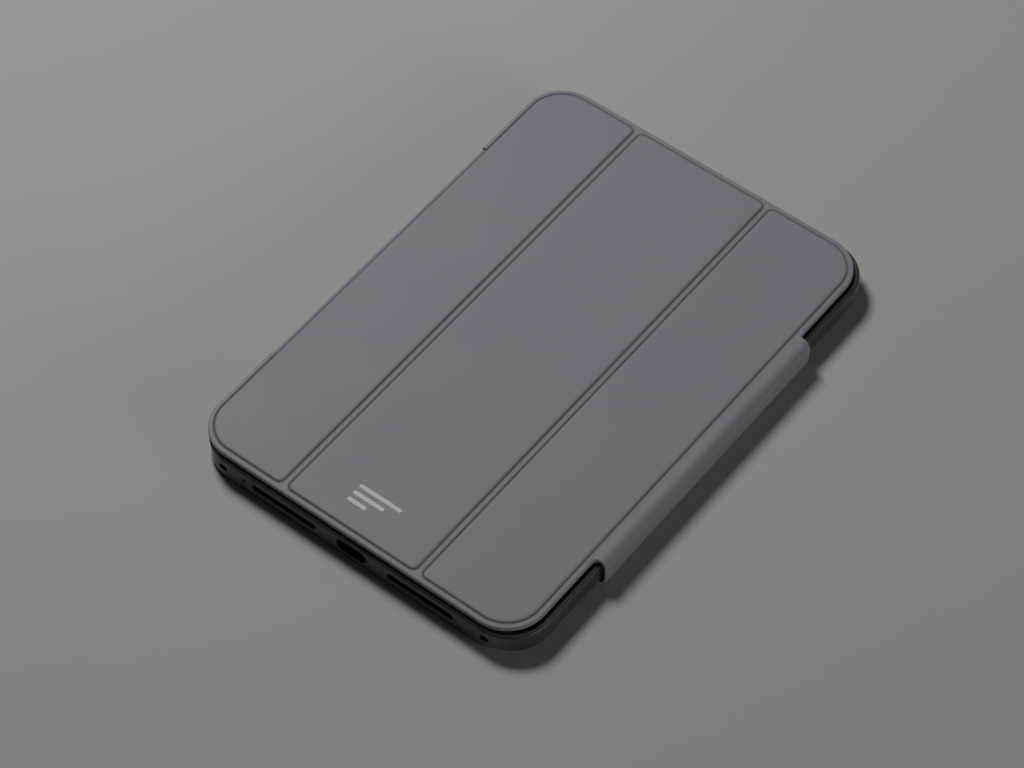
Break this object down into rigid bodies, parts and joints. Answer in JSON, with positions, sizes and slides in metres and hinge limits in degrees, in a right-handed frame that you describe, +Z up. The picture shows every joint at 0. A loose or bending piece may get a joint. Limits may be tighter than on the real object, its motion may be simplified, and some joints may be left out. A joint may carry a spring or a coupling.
{
  "type": "tablet case",
  "caption": "Folio case for a small tablet: moulded tub, three-panel folding cover on a side spine, magnetic closure flap and pressing buttons.",
  "frame": {"origin": "centre of the closed case's footprint, on the face that it lies on", "axes": "+X from the closure flap to the spine, +Y from the charging port to the buttons, along the case's length, +Z up out of the cover"},
  "size_m": [0.1404, 0.2006, 0.012],
  "materials": {
    "soft_touch": "matt soft-touch synthetic skin, slate grey",
    "bumper": "satin black elastomer",
    "hard_back": "finely textured black",
    "microfibre": "short brushed microfibre, dark grey",
    "board": "plain stiff board",
    "steel": "brushed",
    "magnet": "bright nickel plate"
  },
  "bodies": {
    "case": {"back_shell": "hard_back", "bumper_frame": "bumper", "pocket_lining": "microfibre", "camera_ring": "hard_back", "mount_ring": "hard_back", "mount_plate": "steel", "spine_anchor_skin": "soft_touch", "spine_anchor_plate": "board"},
    "power_button": {"power_button": "bumper"},
    "volume_up_button": {"volume_up_button": "bumper"},
    "volume_down_button": {"volume_down_button": "bumper"},
    "spine": {"spine_skin": "soft_touch", "spine_board": "board", "spine_lining": "microfibre"},
    "panel_3": {"panel_3_skin": "soft_touch", "panel_3_board": "board", "panel_3_lining": "microfibre", "panel_3_keeper_strip": "steel"},
    "panel_2": {"panel_2_skin": "soft_touch", "panel_2_board": "board", "panel_2_lining": "microfibre"},
    "panel_1": {"panel_1_skin": "soft_touch", "panel_1_board": "board", "panel_1_lining": "microfibre", "panel_1_magnet_near": "magnet", "panel_1_magnet_middle": "magnet", "panel_1_magnet_far": "magnet"},
    "closure_flap": {"flap_skin": "soft_touch", "flap_magnet_bar": "magnet", "flap_lining": "microfibre"}
  },
  "joints": [
    {"name": "spine_hinge", "type": "hinge", "parent": "case", "child": "spine", "pos_m": [0.06973, 0, 0.00054], "axis": [0, 1, 0], "range_deg": [0, 90]},
    {"name": "cover_hinge", "type": "hinge", "parent": "spine", "child": "panel_3", "pos_m": [0.06958, 0, 0.01096], "axis": [0, 1, 0], "range_deg": [0, 180]},
    {"name": "fold_3_2", "type": "hinge", "parent": "panel_3", "child": "panel_2", "pos_m": [0.02438, 0, 0.012], "axis": [0, 1, 0], "range_deg": [0, 120]},
    {"name": "fold_2_1", "type": "hinge", "parent": "panel_2", "child": "panel_1", "pos_m": [-0.03157, 0, 0.012], "axis": [0, 1, 0], "range_deg": [0, 140]},
    {"name": "flap_hinge", "type": "hinge", "parent": "panel_1", "child": "closure_flap", "pos_m": [-0.06975, 0, 0.01113], "axis": [0, 1, 0], "range_deg": [0, 90]},
    {"name": "power_press", "type": "slide", "parent": "case", "child": "power_button", "axis": [0, -1, 0], "range_m": [0, 0.0004], "stiffness_N_per_m": 1500},
    {"name": "volume_up_press", "type": "slide", "parent": "case", "child": "volume_up_button", "axis": [0, -1, 0], "range_m": [0, 0.0004], "stiffness_N_per_m": 1500},
    {"name": "volume_down_press", "type": "slide", "parent": "case", "child": "volume_down_button", "axis": [0, -1, 0], "range_m": [0, 0.0004], "stiffness_N_per_m": 1500}
  ]
}
